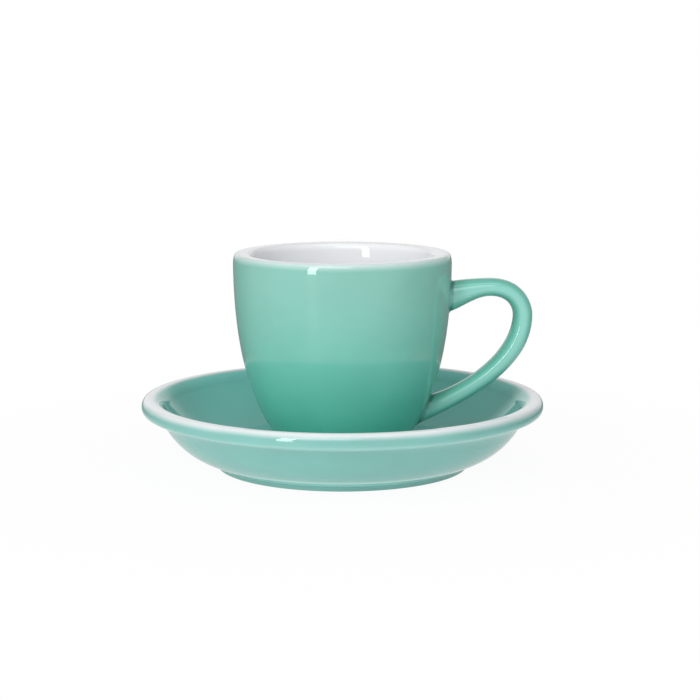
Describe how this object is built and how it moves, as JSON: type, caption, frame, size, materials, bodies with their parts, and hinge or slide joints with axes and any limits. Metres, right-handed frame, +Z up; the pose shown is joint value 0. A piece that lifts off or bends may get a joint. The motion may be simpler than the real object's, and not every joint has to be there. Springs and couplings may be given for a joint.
{
  "type": "espresso cup and saucer",
  "caption": "Thick-walled glazed espresso cup with an ear handle, standing in the well of a deep saucer with a rolled rim; the cup lifts off the saucer.",
  "frame": {"origin": "on the common axis of the cup and the saucer, at the level of the table", "axes": "+Z up along the axis of the cup, +X towards the handle"},
  "size_m": [0.117, 0.117, 0.0623],
  "materials": {
    "teal_glaze": "gloss"
  },
  "bodies": {
    "saucer": {"saucer": "teal_glaze"},
    "cup": {"cup_body": "teal_glaze", "cup_handle": "teal_glaze"}
  },
  "joints": [
    {"name": "cup_lift", "type": "slide", "parent": "saucer", "child": "cup", "axis": [0, 0, 1], "range_m": [0, 0.06]}
  ]
}
